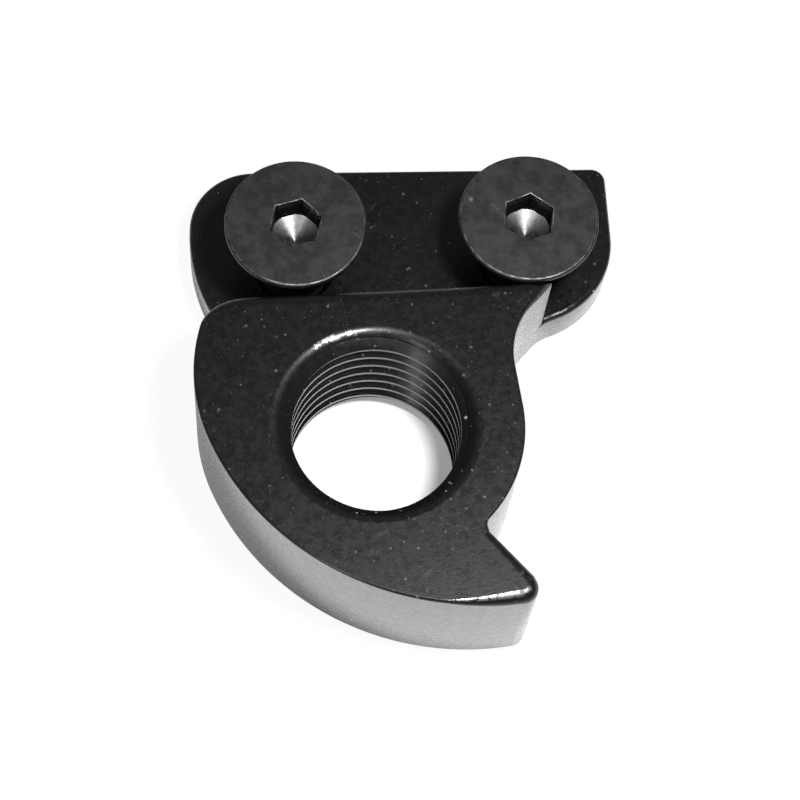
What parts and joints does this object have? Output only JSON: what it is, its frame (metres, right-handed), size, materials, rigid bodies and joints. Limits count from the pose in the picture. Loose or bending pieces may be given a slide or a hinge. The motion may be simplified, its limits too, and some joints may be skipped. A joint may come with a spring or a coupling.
{
  "type": "bicycle derailleur hanger",
  "caption": "Hooked aluminium plate with a threaded bore and a thin bolted flange, which carries a bicycle's rear derailleur on the frame's dropout.",
  "frame": {"origin": "on the threaded bore's axis, at the plate's back face", "axes": "+Z along the bore from the back face to the face with the stepped flange, +X along the bolt row, +Y from the bore to the flange"},
  "size_m": [0.0238, 0.0279, 0.008],
  "materials": {
    "anodised_plate": "satin black anodised, fine matt texture with small light specks",
    "bolt_steel": "satin black oxide with light rubbed edges"
  },
  "bodies": {
    "root": {"hanger": "anodised_plate", "mounting_bolts": "bolt_steel"}
  },
  "joints": []
}
